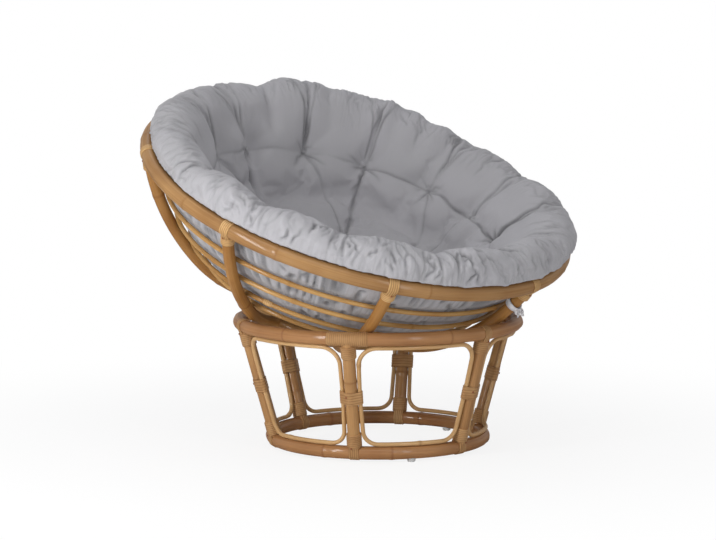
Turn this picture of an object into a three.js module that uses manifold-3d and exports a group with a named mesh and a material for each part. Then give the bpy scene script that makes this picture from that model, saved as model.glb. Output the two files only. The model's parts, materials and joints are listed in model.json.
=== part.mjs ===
// Papasan chair: a round bowl of bent rattan poles, tilted back on a round rattan stand, with a padded cushion.
// Millimetres, +Z up. The low front edge of the bowl faces -Y. The origin lies on the floor under the rim's middle.
// Azimuths are degrees from -Y towards +X, seen from above.
import * as THREE from 'three';
import { mergeVertices } from 'three/addons/utils/BufferGeometryUtils.js';
import Module from 'manifold-3d';

const wasm = await Module();
wasm.setup();

// Gaps: between poles that are nailed together, and round what a wrapping or the cushion lies on
const jointGap = 0.3;
const cushionGap = 1.2;

// Stand: two bent poles, one over the other, each given by the radius and height of its centreline
const topRingRadius = 324.5;
const topRingHeight = 292;
const topRingPole = 15.5;
const bottomRingRadius = 248.5;
const floorGap = 6;
const bottomRingPole = 15.5;
const legPole = 14.5;
const legCount = 6;
const firstLegAzimuth = -56.35;
const buttDepth = 6;

// Stand: a thin rod bent to a closed loop in each bay, held to the legs at its waist
const rodRadius = 5;
const rodRingGap = 0.8;
const loopCornerRadius = 38;
const loopWaistRadius = 160;
const loopSplay = 3;
const waistShare = 0.493;

// Stand: wrappings of peeled rattan over the joints
const peel = 1.5;
const strapWidth = 22;
const spliceWidth = 94;
const topCollar = 31;
const footStrapWidth = 23;
const footCollar = 33;
const waistBand = 32;
const waistBandSlack = 0.9;

// Stand: a plastic glide under every other bay
const glideRadius = 9.5;
const glideFaceRadius = 6.5;
const glideRimHeight = 3.5;
const glideSeatHeight = 10;
const baysPerGlide = 2;

// Bowl: rim, and ribs bent like meridians of a ball whose middle is on the axis of the stand
const rimRadius = 505;
const rimDrop = 187.4;
const rimPole = 18;
const ribPole = 13.75;
const ribCount = 8;
const firstRibAzimuth = 12.5;
const tilt = 22.17;
const flattenFrom = 37;
const flatBend = 300;
const footRingRadius = 190;
const footRingPole = 13.75;

// Bowl: thin hoops nailed inside the ribs, each at an angle up from the bottom of the bowl
const hoopRadius = 5.5;
const hoopAngles = [58, 50.8, 43.5, 37];
const hoopSegmentCounts = [40, 32, 24, 24];

// Bowl: wrappings where a rib meets the rim
const rimStrapWidth = 24;
const ribCollar = 20;

// Cushion: thickness on the crown and at the tufts, and the roll of its edge, which lies over the rim
const crown = 95;
const tuftThickness = 48;
const tuftReach = 80;
const rollRadius = 59;
const rollCentreRadius = 460;
const rollLift = 22;
const rollSlump = 6;
const rollPucker = 9;
const outerTuftCount = 14;
const outerTuftAngle = 56;
const innerTuftCount = 7;
const innerTuftAngle = 24;
const firstTuftAzimuth = 81;
const stepsPerTuft = 3;
const rimCover = 26;

// Cloth tie of the cushion, round the front rib, and how far down the rib from the rim's middle it lies
const tieThickness = 2.6;
const tieWidth = 16;
const tieDrop = 67;

// Colours and finish
const finishes = {
  pole: { color: 0xc08a52, roughness: 0.45, metalness: 0 },
  rod: { color: 0xc9a06a, roughness: 0.5, metalness: 0 },
  peel: { color: 0xc4935c, roughness: 0.55, metalness: 0 },
  cotton: { color: 0xc9c8cf, roughness: 0.95, metalness: 0 },
  plastic: { color: 0xe4e6e6, roughness: 0.35, metalness: 0 },
};

// Smoothness of the meshes
const poleSides = 10;
const rodSides = 6;
const footRingSides = 8;
const topRingSegments = 48;
const bottomRingSegments = 36;
const rimSegments = 56;
const footRingSegments = 24;
const ribSteps = 11;
const loopSegments = 34;
const arcSteps = 4;
const ballSegments = 96;
const glideSides = 12;
const glideArcPoints = 3;
const outlineSegments = 2;

const radians = THREE.MathUtils.degToRad;

// Height of the lower ring over the floor, and the slant line from ring to ring that legs and loops follow
const bottomRingHeight = floorGap + bottomRingPole;
const slantLength = Math.hypot(topRingRadius - bottomRingRadius, topRingHeight - bottomRingHeight);
const slantLean = Math.atan2(topRingRadius - bottomRingRadius, topRingHeight - bottomRingHeight);

// The ball that the ribs lie on, its middle over the stand so that the ribs rest on the top ring
const ballRadius = Math.hypot(rimRadius, rimDrop);
const nearDistance = ballRadius + ribPole + jointGap + topRingPole;
const topRingFlat = topRingRadius * (1 - Math.cos(Math.PI / topRingSegments));
const restDistance = nearDistance + (topRingFlat * topRingRadius) / nearDistance;
const ballHeight = topRingHeight + Math.sqrt(restDistance ** 2 - topRingRadius ** 2);
const standShift = rimDrop * Math.sin(radians(tilt));
const rimAngle = Math.atan2(rimRadius, rimDrop);

// A closed geometry as a solid for joining and cutting, and back
function toSolid(geometry) {
  const bare = geometry.clone();
  bare.deleteAttribute('normal');
  bare.deleteAttribute('uv');
  const merged = mergeVertices(bare);
  return new wasm.Manifold(new wasm.Mesh({
    numProp: 3,
    vertProperties: Float32Array.from(merged.attributes.position.array),
    triVerts: Uint32Array.from(merged.index.array),
  }));
}

function toGeometry(solid) {
  const mesh = solid.getMesh();
  const geometry = new THREE.BufferGeometry();
  geometry.setAttribute('position', new THREE.BufferAttribute(mesh.vertProperties, 3));
  geometry.setIndex(new THREE.BufferAttribute(mesh.triVerts, 1));
  geometry.computeVertexNormals();
  return geometry;
}

// A ring of round pole about the Z axis, grown by a gap or a wrapping. Its place gives the radius and height
// of the centreline, the direction in which a corner of the pole's section touches its neighbour, and the
// share of a segment by which the ring is turned: none for a corner at +X, half for a flat there.
function ring(place, growth = 0) {
  const pole = place.pole + growth;
  const profile = [];
  for (let k = 0; k <= place.sides; k += 1) {
    const angle = place.touch + (2 * Math.PI * (k % place.sides)) / place.sides;
    const out = place.radius + pole * Math.cos(angle);
    profile.push(new THREE.Vector2(out, place.height + pole * Math.sin(angle)));
  }
  const turn = Math.PI / 2 + (2 * Math.PI * place.shiftShare) / place.segments;
  return new THREE.LatheGeometry(profile, place.segments).rotateX(Math.PI / 2).rotateZ(turn);
}

// A straight round pole along the slant line of the leg at +X, from one place on the line to another
function slantPole(radius, from, to) {
  const pole = new THREE.CylinderGeometry(radius, radius, to - from, poleSides);
  pole.rotateX(Math.PI / 2);
  pole.translate(0, 0, (from + to) / 2);
  pole.rotateY(slantLean);
  return pole.translate(bottomRingRadius, 0, bottomRingHeight);
}

// The middle of the bowl's curve at an angle from the bottom: the ball, with a tighter bend near the bottom
function bowlPoint(angle, inset = 0) {
  const bend = Math.min(angle, radians(flattenFrom));
  const isBall = angle > bend;
  const centre = isBall ? 0 : ballRadius - flatBend;
  const reach = (isBall ? ballRadius : flatBend) - inset;
  const start = radians(flattenFrom);
  const radius = centre * Math.sin(start) + reach * Math.sin(angle);
  const height = -centre * Math.cos(start) - reach * Math.cos(angle);
  return new THREE.Vector2(radius, height);
}

const footAngle = Math.asin(
  (footRingRadius - (ballRadius - flatBend) * Math.sin(radians(flattenFrom))) / flatBend,
);

// A rib's centreline in the XZ plane, from just inside the rim to just inside the foot ring
class RibCurve extends THREE.Curve {
  constructor(from, to) {
    super();
    this.from = from;
    this.to = to;
  }

  getPoint(t, target = new THREE.Vector3()) {
    const point = bowlPoint(THREE.MathUtils.lerp(this.from, this.to, t));
    return target.set(point.x, 0, point.y);
  }
}

function ribPiece(radius, from, to, steps = 1) {
  const start = Math.PI / 2;
  const section = new THREE.Shape().absarc(0, 0, radius, start, start + 2 * Math.PI);
  const options = {
    steps,
    bevelEnabled: false,
    extrudePath: new RibCurve(from, to),
    curveSegments: poleSides / 2,
  };
  return new THREE.ExtrudeGeometry(section, options);
}

// A block across the pole at +X, as wide along the pole as a strap
const blockShare = 4;

function strapBlock(radius, pole, width, height) {
  const side = blockShare * pole;
  return new THREE.BoxGeometry(side, width, side).translate(radius, 0, height);
}

// The group and its meshes
const chair = new THREE.Group();
const stand = new THREE.Group();
stand.position.y = -standShift;
const bowl = new THREE.Group();
bowl.position.set(0, -standShift, ballHeight);
bowl.rotation.x = radians(tilt);
chair.add(stand, bowl);

function addPiece(group, name, geometry, finish, azimuth = 90) {
  const mesh = new THREE.Mesh(geometry, new THREE.MeshStandardMaterial(finishes[finish]));
  mesh.name = name;
  mesh.rotation.z = radians(azimuth - 90);
  group.add(mesh);
  return mesh;
}

function legAzimuth(index) {
  return firstLegAzimuth + (index * 360) / legCount;
}

function ribAzimuth(index) {
  return firstRibAzimuth + (index * 360) / ribCount;
}

// Rings of the stand
const topRing = {
  radius: topRingRadius,
  height: topRingHeight,
  pole: topRingPole,
  touch: Math.atan2(ballHeight - topRingHeight, -topRingRadius),
  sides: poleSides,
  segments: topRingSegments,
  shiftShare: 0.5,
};
const bottomRing = {
  radius: bottomRingRadius,
  height: bottomRingHeight,
  pole: bottomRingPole,
  touch: -Math.PI / 2,
  sides: poleSides,
  segments: bottomRingSegments,
  shiftShare: 0.5,
};
addPiece(stand, 'base_top_ring', ring(topRing), 'pole', legAzimuth(0));
addPiece(stand, 'base_bottom_ring', ring(bottomRing), 'pole', legAzimuth(0));
const topRingRoom = toSolid(ring(topRing, jointGap));
const bottomRingRoom = toSolid(ring(bottomRing, jointGap));

// Legs: straight poles hollowed at both ends to sit against the rings
const legSolid = toSolid(slantPole(legPole, buttDepth, slantLength - buttDepth));
const legGeometry = toGeometry(legSolid.subtract(topRingRoom).subtract(bottomRingRoom));
const legRoom = toSolid(slantPole(legPole + jointGap, 0, slantLength));
for (let i = 0; i < legCount; i += 1) {
  addPiece(stand, `leg_${i + 1}`, legGeometry, 'pole', legAzimuth(i));
}

// Infill loops: a bent rod laid on the cone between the rings, with round corners and a slight waist
const rodOffset = legPole + jointGap + rodRadius;
const loopLow = bottomRingPole + rodRingGap + rodRadius;
const loopHigh = slantLength - topRingPole - rodRingGap - rodRadius;
const waistAt = waistShare * slantLength;

function coneRadius(slant) {
  return bottomRingRadius + slant * Math.sin(slantLean);
}

function coneHeight(slant) {
  return bottomRingHeight + slant * Math.cos(slantLean);
}

function sideReach(slant, offset) {
  return coneRadius(slant) * (Math.PI / legCount) - offset;
}

// Points of a closed outline with each corner rounded by its own radius
function roundedOutline(corners) {
  const points = [];
  corners.forEach((corner, i) => {
    const before = corners[(i + corners.length - 1) % corners.length].at;
    const after = corners[(i + 1) % corners.length].at;
    const inward = before.clone().sub(corner.at).normalize();
    const outward = after.clone().sub(corner.at).normalize();
    const half = Math.acos(inward.dot(outward)) / 2;
    const middle = inward.clone().add(outward).normalize();
    const centre = corner.at.clone().addScaledVector(middle, corner.radius / Math.sin(half));
    const start = corner.at.clone().addScaledVector(inward, corner.radius / Math.tan(half)).sub(centre);
    const sweep = Math.sign(start.cross(middle)) * -(Math.PI - 2 * half);
    for (let k = 0; k <= arcSteps; k += 1) {
      const turned = start.clone().rotateAround(new THREE.Vector2(), (sweep * k) / arcSteps);
      points.push(turned.add(centre));
    }
  });
  return points;
}

const lowCorner = sideReach(loopLow, rodOffset + loopSplay);
const waistCorner = sideReach(waistAt, rodOffset);
const highCorner = sideReach(loopHigh, rodOffset + loopSplay);
const loopOutline = roundedOutline([
  { at: new THREE.Vector2(lowCorner, loopLow), radius: loopCornerRadius },
  { at: new THREE.Vector2(waistCorner, waistAt), radius: loopWaistRadius },
  { at: new THREE.Vector2(highCorner, loopHigh), radius: loopCornerRadius },
  { at: new THREE.Vector2(-highCorner, loopHigh), radius: loopCornerRadius },
  { at: new THREE.Vector2(-waistCorner, waistAt), radius: loopWaistRadius },
  { at: new THREE.Vector2(-lowCorner, loopLow), radius: loopCornerRadius },
]);

class LoopCurve extends THREE.Curve {
  constructor(outline) {
    super();
    this.path = new THREE.Path(outline);
    this.path.closePath();
  }

  getPoint(t, target = new THREE.Vector3()) {
    const point = this.path.getPoint(t);
    const turn = point.x / coneRadius(point.y);
    const reach = coneRadius(point.y);
    return target.set(reach * Math.cos(turn), reach * Math.sin(turn), coneHeight(point.y));
  }
}

const loopGeometry = new THREE.TubeGeometry(new LoopCurve(loopOutline), loopSegments, rodRadius, rodSides, true);
for (let i = 0; i < legCount; i += 1) {
  addPiece(stand, `infill_loop_${i + 1}`, loopGeometry, 'rod', legAzimuth(i) + 180 / legCount);
}

// Top bindings: a strap over the ring and a collar round the leg, cut back where the bowl rests on the ring
const ballRoomRadius = ballRadius + ribPole + 2 * jointGap;
const facetAllowance = 1 / Math.cos(Math.PI / ballSegments);
const ballRoom = toSolid(
  new THREE.SphereGeometry(ballRoomRadius * facetAllowance ** 2, ballSegments, ballSegments / 2)
    .rotateX(Math.PI / 2)
    .translate(0, 0, ballHeight),
);
const wrapGap = jointGap + peel;

function topBinding(width) {
  const sleeve = toSolid(ring(topRing, wrapGap));
  const strap = sleeve.intersect(toSolid(strapBlock(topRingRadius, topRingPole, width, topRingHeight)));
  const collarFrom = slantLength - topRingPole - topCollar;
  const collar = toSolid(slantPole(legPole + wrapGap, collarFrom, slantLength - buttDepth));
  const wrap = strap.add(collar).subtract(topRingRoom).subtract(legRoom);
  return toGeometry(wrap.subtract(ballRoom));
}

const strapGeometry = topBinding(strapWidth);
const spliceGeometry = topBinding(spliceWidth);
for (let i = 0; i < legCount; i += 1) {
  addPiece(stand, `top_binding_${i + 1}`, i === 0 ? spliceGeometry : strapGeometry, 'peel', legAzimuth(i));
}

// Foot bindings: a strap round the bottom ring and a collar round the leg
const footSleeve = toSolid(ring(bottomRing, wrapGap));
const footBlock = toSolid(strapBlock(bottomRingRadius, bottomRingPole, footStrapWidth, bottomRingHeight));
const footCollarSolid = toSolid(slantPole(legPole + wrapGap, buttDepth, bottomRingPole + footCollar));
const footGeometry = toGeometry(
  footSleeve.intersect(footBlock).add(footCollarSolid).subtract(bottomRingRoom).subtract(legRoom),
);
for (let i = 0; i < legCount; i += 1) {
  addPiece(stand, `foot_binding_${i + 1}`, footGeometry, 'peel', legAzimuth(i));
}

// Waist bindings: a band round each leg and the loop sides on its left and right
const waistRadius = coneRadius(waistAt);
const rodTurn = rodOffset / waistRadius;
const rodSide = waistRadius * Math.sin(rodTurn);
const rodSetback = waistRadius * (1 - Math.cos(rodTurn)) * Math.cos(slantLean);

// The outline of a cord pulled tight round a leg and the rods beside it
function bandOutline(path, slack) {
  const legReach = legPole + jointGap + slack;
  const rodReach = rodRadius + waistBandSlack + slack;
  const away = Math.hypot(rodSide, rodSetback);
  const toRod = Math.atan2(rodSide, -rodSetback);
  const spread = Math.acos((legReach - rodReach) / away);
  path.absarc(0, 0, legReach, spread - toRod, toRod - spread);
  path.absarc(-rodSetback, rodSide, rodReach, toRod - spread, toRod + spread);
  path.absarc(0, 0, legReach, toRod + spread, 2 * Math.PI - toRod - spread);
  path.absarc(-rodSetback, -rodSide, rodReach, 2 * Math.PI - toRod - spread, 2 * Math.PI - toRod + spread);
  return path;
}

const bandSection = bandOutline(new THREE.Shape(), peel);
bandSection.holes.push(bandOutline(new THREE.Path(), 0));
const bandGeometry = new THREE.ExtrudeGeometry(bandSection, {
  depth: waistBand,
  bevelEnabled: false,
  curveSegments: outlineSegments,
});
bandGeometry.translate(0, 0, waistAt - waistBand / 2);
bandGeometry.rotateY(slantLean);
bandGeometry.translate(bottomRingRadius, 0, bottomRingHeight);
for (let i = 0; i < legCount; i += 1) {
  addPiece(stand, `middle_binding_${i + 1}`, bandGeometry, 'peel', legAzimuth(i));
}

// Glides: flat-faced plastic domes nailed under the bottom ring
const glideProfile = [new THREE.Vector2(0, 0), new THREE.Vector2(glideFaceRadius, 0)];
for (let k = 1; k <= glideArcPoints; k += 1) {
  const turn = (k / glideArcPoints) * (Math.PI / 2);
  const out = glideFaceRadius + (glideRadius - glideFaceRadius) * Math.sin(turn);
  glideProfile.push(new THREE.Vector2(out, glideRimHeight * (1 - Math.cos(turn))));
}
glideProfile.push(new THREE.Vector2(glideRadius, glideSeatHeight), new THREE.Vector2(0, glideSeatHeight));
const glideSolid = toSolid(
  new THREE.LatheGeometry(glideProfile, glideSides).rotateX(Math.PI / 2).translate(bottomRingRadius, 0, 0),
);
const glideGeometry = toGeometry(glideSolid.subtract(bottomRingRoom));
for (let i = 0; i < legCount / baysPerGlide; i += 1) {
  const azimuth = legAzimuth(i * baysPerGlide) + 180 / legCount;
  addPiece(stand, `glide_${i + 1}`, glideGeometry, 'plastic', azimuth);
}

// Rim and foot ring of the bowl
const rim = {
  radius: rimRadius,
  height: -rimDrop,
  pole: rimPole,
  touch: rimAngle - Math.PI,
  sides: poleSides,
  segments: rimSegments,
  shiftShare: 0.5,
};
const footRing = {
  radius: footRingRadius,
  height: bowlPoint(footAngle).y,
  pole: footRingPole,
  touch: footAngle,
  sides: footRingSides,
  segments: footRingSegments,
  shiftShare: 0.5,
};
addPiece(bowl, 'bowl_rim', ring(rim), 'pole', ribAzimuth(0));
addPiece(bowl, 'bowl_foot_ring', ring(footRing), 'pole', ribAzimuth(0));
const rimRoom = toSolid(ring(rim, jointGap));
const footRingRoom = toSolid(ring(footRing, jointGap));

// Ribs: bent poles hollowed at both ends to sit against the rim and the foot ring
const ribTop = rimAngle - buttDepth / ballRadius;
const ribEnd = footAngle + buttDepth / flatBend;
const ribSolid = toSolid(ribPiece(ribPole, ribTop, ribEnd, ribSteps));
const ribGeometry = toGeometry(ribSolid.subtract(rimRoom).subtract(footRingRoom));
for (let i = 0; i < ribCount; i += 1) {
  addPiece(bowl, `rib_${i + 1}`, ribGeometry, 'pole', ribAzimuth(i));
}

// Hoops: thin rods bent to rings, nailed inside the ribs, clear of the flats between a rib's steps
const ribStep = (ribTop - ribEnd) / ribSteps;
const ribFlat = ballRadius * (1 - Math.cos(ribStep / 2));
const hoopInset = ribPole + ribFlat + jointGap + hoopRadius;
hoopAngles.forEach((angle, i) => {
  const at = bowlPoint(radians(angle), hoopInset);
  const hoop = {
    radius: at.x,
    height: at.y,
    pole: hoopRadius,
    touch: radians(angle) - Math.PI / 2,
    sides: rodSides,
    segments: hoopSegmentCounts[i],
    shiftShare: 0,
  };
  addPiece(bowl, `hoop_${i + 1}`, ring(hoop), 'rod', ribAzimuth(0));
});

// Rim bindings: a strap round the rim and a collar round the end of each rib
const rimSleeve = toSolid(ring(rim, wrapGap));
const rimBlock = toSolid(strapBlock(rimRadius, rimPole, rimStrapWidth, -rimDrop));
const collarEnd = rimAngle - (rimPole + ribCollar) / ballRadius;
const ribCollarSolid = toSolid(ribPiece(ribPole + wrapGap, ribTop, collarEnd));
const ribRoom = toSolid(ribPiece(ribPole + jointGap, ribTop, ribEnd, ribSteps));
const rimBindingGeometry = toGeometry(
  rimSleeve.intersect(rimBlock).add(ribCollarSolid).subtract(rimRoom).subtract(ribRoom),
);
for (let i = 0; i < ribCount; i += 1) {
  addPiece(bowl, `rim_binding_${i + 1}`, rimBindingGeometry, 'peel', ribAzimuth(i));
}

// Cloth tie: a band of cotton round the front rib
const tieFrom = rimAngle - (tieDrop - tieWidth / 2) / ballRadius;
const tieTo = rimAngle - (tieDrop + tieWidth / 2) / ballRadius;
const tieSolid = toSolid(ribPiece(ribPole + jointGap + tieThickness, tieFrom, tieTo));
addPiece(bowl, 'cushion_tie', toGeometry(tieSolid.subtract(ribRoom)), 'cotton', ribAzimuth(0));

// Cushion: two skins from the middle out, the lower one on the hoops, the upper one drawn in at the tufts
const cushionInset = hoopInset + hoopRadius + cushionGap;
const azimuthSteps = outerTuftCount * stepsPerTuft;
const lowerAngles = [0, 18, 34, 48, 60];
const rollTurns = [0, 27, 55, 84, 114, 144, 168];
const upperAngles = [62, outerTuftAngle, 49, 41, 33, innerTuftAngle, 12, 0];
const middleShare = 0.5;

function tuftPoint(index, count, angle, firstAzimuth) {
  const at = bowlPoint(radians(angle), cushionInset + crown);
  const azimuth = radians(firstAzimuth + (index * 360) / count);
  return new THREE.Vector3(at.x * Math.sin(azimuth), -at.x * Math.cos(azimuth), at.y);
}

const tufts = [new THREE.Vector3(0, 0, bowlPoint(0, cushionInset + crown).y)];
for (let i = 0; i < outerTuftCount; i += 1) {
  tufts.push(tuftPoint(i, outerTuftCount, outerTuftAngle, firstTuftAzimuth));
}
for (let i = 0; i < innerTuftCount; i += 1) {
  tufts.push(tuftPoint(i, innerTuftCount, innerTuftAngle, firstTuftAzimuth));
}

// Padding left over a place on the crown: full between the tufts, thin at a tuft
function padding(place) {
  const nearest = Math.min(...tufts.map((tuft) => tuft.distanceTo(place)));
  const drawn = Math.max(0, 1 - nearest / tuftReach) ** 2;
  return THREE.MathUtils.lerp(crown, tuftThickness, drawn);
}

function spoke(radius, height, azimuth) {
  return new THREE.Vector3(radius * Math.sin(azimuth), -radius * Math.cos(azimuth), height);
}

function cushionRing(kind, value, azimuth) {
  const low = Math.cos(azimuth);
  if (kind === 'lower') {
    const at = bowlPoint(radians(value), cushionInset);
    return spoke(at.x, at.y, azimuth);
  }
  if (kind === 'inner') {
    const edge = bowlPoint(rimAngle, cushionInset);
    return spoke(edge.x, edge.y, azimuth);
  }
  if (kind === 'cover') {
    return spoke(rimRadius, rimCover - rimDrop, azimuth);
  }
  if (kind === 'roll') {
    const turn = radians(value);
    const pucker = Math.cos(outerTuftCount * (azimuth - radians(firstTuftAzimuth)));
    const share = Math.max(0, Math.sin(turn));
    const reach = rollRadius - rollPucker * share * Math.max(0, pucker);
    const radius = rollCentreRadius + rollSlump * low + reach * Math.cos(turn);
    return spoke(radius, rollLift - rimDrop + reach * Math.sin(turn), azimuth);
  }
  const share = kind === 'middle' ? middleShare : 1;
  const surface = bowlPoint(radians(value), cushionInset + crown);
  const thickness = padding(spoke(share * surface.x, surface.y, azimuth));
  const at = bowlPoint(radians(value), cushionInset + thickness);
  return spoke(share * at.x, at.y, azimuth);
}

const cushionRings = [
  ...lowerAngles.map((value) => ['lower', value]),
  ['inner', 0],
  ['cover', 0],
  ...rollTurns.map((value) => ['roll', value]),
  ...upperAngles.map((value) => ['upper', value]),
  ['middle', 0],
];

const cushionPoints = [];
cushionRings.forEach(([kind, value]) => {
  for (let k = 0; k < azimuthSteps; k += 1) {
    const azimuth = radians(firstTuftAzimuth) + (2 * Math.PI * k) / azimuthSteps;
    cushionPoints.push(cushionRing(kind, value, azimuth));
  }
});
const lowerPole = cushionPoints.length;
cushionPoints.push(new THREE.Vector3(0, 0, bowlPoint(0, cushionInset).y));
const upperPole = cushionPoints.length;
cushionPoints.push(new THREE.Vector3(0, 0, bowlPoint(0, cushionInset + tuftThickness).y));

const cushionFaces = [];
const lastRing = (cushionRings.length - 1) * azimuthSteps;
for (let k = 0; k < azimuthSteps; k += 1) {
  const next = (k + 1) % azimuthSteps;
  cushionFaces.push(lowerPole, next, k);
  cushionFaces.push(upperPole, lastRing + k, lastRing + next);
  for (let row = 0; row < lastRing; row += azimuthSteps) {
    const above = row + azimuthSteps;
    cushionFaces.push(row + k, row + next, above + next);
    cushionFaces.push(row + k, above + next, above + k);
  }
}
const cushionGeometry = new THREE.BufferGeometry().setFromPoints(cushionPoints);
cushionGeometry.setIndex(cushionFaces);
cushionGeometry.computeVertexNormals();
addPiece(bowl, 'cushion', cushionGeometry, 'cotton');

export default chair;
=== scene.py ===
"""A round bowl chair of rattan poles, tilted back on its rattan stand, with a tufted cushion.

Metres, +Z up. The bowl's low front edge faces -Y, and azimuths run from -Y towards +X.
"""
import json
import math
import random

import bmesh
import bpy
from mathutils import Matrix, Vector, noise
from mathutils.bvhtree import BVHTree
from mathutils.kdtree import KDTree


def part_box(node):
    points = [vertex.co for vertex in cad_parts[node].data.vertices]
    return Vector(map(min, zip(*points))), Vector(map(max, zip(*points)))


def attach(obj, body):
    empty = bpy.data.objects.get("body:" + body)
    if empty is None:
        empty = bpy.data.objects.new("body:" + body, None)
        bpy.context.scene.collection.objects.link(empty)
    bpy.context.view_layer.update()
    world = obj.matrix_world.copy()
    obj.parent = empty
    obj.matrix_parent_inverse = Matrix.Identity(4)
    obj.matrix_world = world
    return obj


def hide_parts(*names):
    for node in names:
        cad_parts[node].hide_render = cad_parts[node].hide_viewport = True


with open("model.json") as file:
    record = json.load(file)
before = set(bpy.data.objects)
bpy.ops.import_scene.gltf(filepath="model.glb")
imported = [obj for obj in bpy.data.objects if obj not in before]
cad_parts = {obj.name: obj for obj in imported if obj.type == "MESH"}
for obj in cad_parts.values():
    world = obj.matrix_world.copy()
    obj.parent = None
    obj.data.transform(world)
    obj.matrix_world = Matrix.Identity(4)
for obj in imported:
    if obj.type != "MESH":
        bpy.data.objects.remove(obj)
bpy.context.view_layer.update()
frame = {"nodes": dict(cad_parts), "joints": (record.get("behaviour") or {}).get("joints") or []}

# Places. The stand is round about an upright line, and the bowl is round about a tilted one that passes
# through the middle of the ball on which its ribs lie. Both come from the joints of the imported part.
joints = {joint["name"]: joint for joint in frame["joints"]}
ball_middle = Vector(joints["bowl_tilt"]["pos_m"])
bowl_axis = Vector(joints["cushion_lift"]["axis"]).normalized()
up = Vector((0, 0, 1))
in_stand = Matrix.Translation((0, ball_middle.y, 0))
in_bowl = Matrix.Translation(ball_middle) @ up.rotation_difference(bowl_axis).to_matrix().to_4x4()


def spoke(azimuth):
    """The level direction at an azimuth."""
    return Vector((math.sin(azimuth), -math.cos(azimuth), 0))


def tangent(azimuth):
    """The level direction along a ring at an azimuth."""
    return Vector((math.cos(azimuth), math.sin(azimuth), 0))


def azimuth_of(node, place):
    """The azimuth of a node's middle about the axis of the stand or the bowl."""
    corners = [corner.co for corner in frame["nodes"][node].data.vertices]
    middle = place.inverted() @ (sum(corners, Vector()) / len(corners))
    return math.atan2(middle.x, -middle.y)


def smooth(value):
    """A share from 0 to 1 that starts and ends gently."""
    share = min(1, max(0, value))
    return share * share * (3 - 2 * share)


# Camera. A long lens at the height of the rim, turned to the left of the low front edge.
camera_azimuth = math.radians(-43.87)
camera_elevation = math.radians(6.65)
camera_distance = 6.945
camera_lens = 149.33
aim_height = 0.411
aim_side = -0.0468

camera = bpy.data.objects.new("camera", bpy.data.cameras.new("camera"))
bpy.context.scene.collection.objects.link(camera)
aim = in_stand @ (tangent(camera_azimuth) * aim_side + up * aim_height)
back = spoke(camera_azimuth) * math.cos(camera_elevation) + up * math.sin(camera_elevation)
camera.location = aim + back * camera_distance
camera.rotation_mode = "QUATERNION"
camera.rotation_quaternion = (-back).to_track_quat("-Z", "Y")
camera.data.lens = camera_lens
bpy.context.scene.camera = camera


# Studio. A white room with five soft lamps: a broad one under the ceiling, one over the camera, one behind
# the chair, and a tall narrow one at each side. The pale floor turns to plain white away from the chair.
class Link:
    """A socket of a material or of the room. Sums, differences and products of it add their Math nodes."""

    def __init__(self, finish, socket):
        self.finish = finish
        self.socket = socket

    def math(self, operation, first, second=0):
        return self.finish.node("ShaderNodeMath", {"operation": operation}, {0: first, 1: second})

    def __add__(self, other):
        return self.math("ADD", self, other)

    def __sub__(self, other):
        return self.math("SUBTRACT", self, other)

    def __rsub__(self, other):
        return self.math("SUBTRACT", other, self)

    def __mul__(self, other):
        return self.math("MULTIPLY", self, other)

    __radd__ = __add__
    __rmul__ = __mul__

    def most(self, other):
        return self.math("MAXIMUM", self, other)

    def sine(self):
        return self.math("SINE", self)


class Nodes:
    """The nodes of a material or of the room. One method adds any node."""

    mix_inputs = (0, 6, 7)
    mix_output = 2

    def __init__(self, tree):
        self.tree = tree

    def node(self, kind, settings=None, inputs=None, output=0):
        made = self.tree.nodes.new(kind)
        for name, value in (settings or {}).items():
            setattr(made, name, value)
        for name, value in (inputs or {}).items():
            self.feed(made.inputs[name], value)
        return Link(self, made.outputs[output])

    def feed(self, socket, value):
        """Links a socket, or sets it. A colour is given without its alpha."""
        if isinstance(value, Link):
            self.tree.links.new(value.socket, socket)
        else:
            socket.default_value = (*value, 1) if socket.type == "RGBA" else value

    def mix(self, share, first, second):
        inputs = dict(zip(self.mix_inputs, (share, first, second)))
        return self.node("ShaderNodeMix", {"data_type": "RGBA"}, inputs, self.mix_output)

    def stretch(self, place, scale):
        settings = {"operation": "MULTIPLY"}
        return self.node("ShaderNodeVectorMath", settings, {0: place, 1: scale})

    def cloud(self, place, scale, detail=2.0):
        inputs = {"Vector": place, "Scale": scale, "Detail": detail}
        return self.node("ShaderNodeTexNoise", None, inputs)

    def relief(self, height, strength, distance):
        inputs = {"Strength": strength, "Distance": distance, "Height": height}
        return self.node("ShaderNodeBump", None, inputs, "Normal")

    def attribute(self, name, output):
        return self.node("ShaderNodeAttribute", {"attribute_name": name}, None, output)


class Finish(Nodes):
    """A material in the making."""

    def __init__(self, name):
        self.material = bpy.data.materials.new(name)
        self.material.use_nodes = True
        super().__init__(self.material.node_tree)
        self.surface = self.tree.nodes["Principled BSDF"]

    def paint(self, **sockets):
        """Sets sockets of the surface shader, named with _ for a space."""
        for name, value in sockets.items():
            self.feed(self.surface.inputs[name.replace("_", " ")], value)
        return self.material


white = (1, 1, 1)
room_colour = (0.97, 0.97, 1)
room_strength = 0.265
floor_colour = (0.93, 0.93, 0.93)
floor_reach = 12
floor_fade = (0.45, 1.55)
least_white = 0.86
lamps = {
    "ceiling": {"azimuth": -175, "elevation": 72, "away": 4.2, "sides": (4.4, 4.4), "power": 20},
    "overhead": {"azimuth": -44, "elevation": 60, "away": 3.5, "sides": (2.5, 2.5), "power": 25},
    "behind": {"azimuth": 136, "elevation": 45, "away": 4.2, "sides": (2.5, 2.5), "power": 21},
    "left": {"azimuth": -85, "elevation": 12, "away": 2.0, "sides": (0.32, 1.5), "power": 19.5},
    "right": {"azimuth": -15, "elevation": 12, "away": 2.0, "sides": (0.32, 1.5), "power": 6.5},
}
lamp_colours = {"behind": (0.85, 0.88, 1)}

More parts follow.
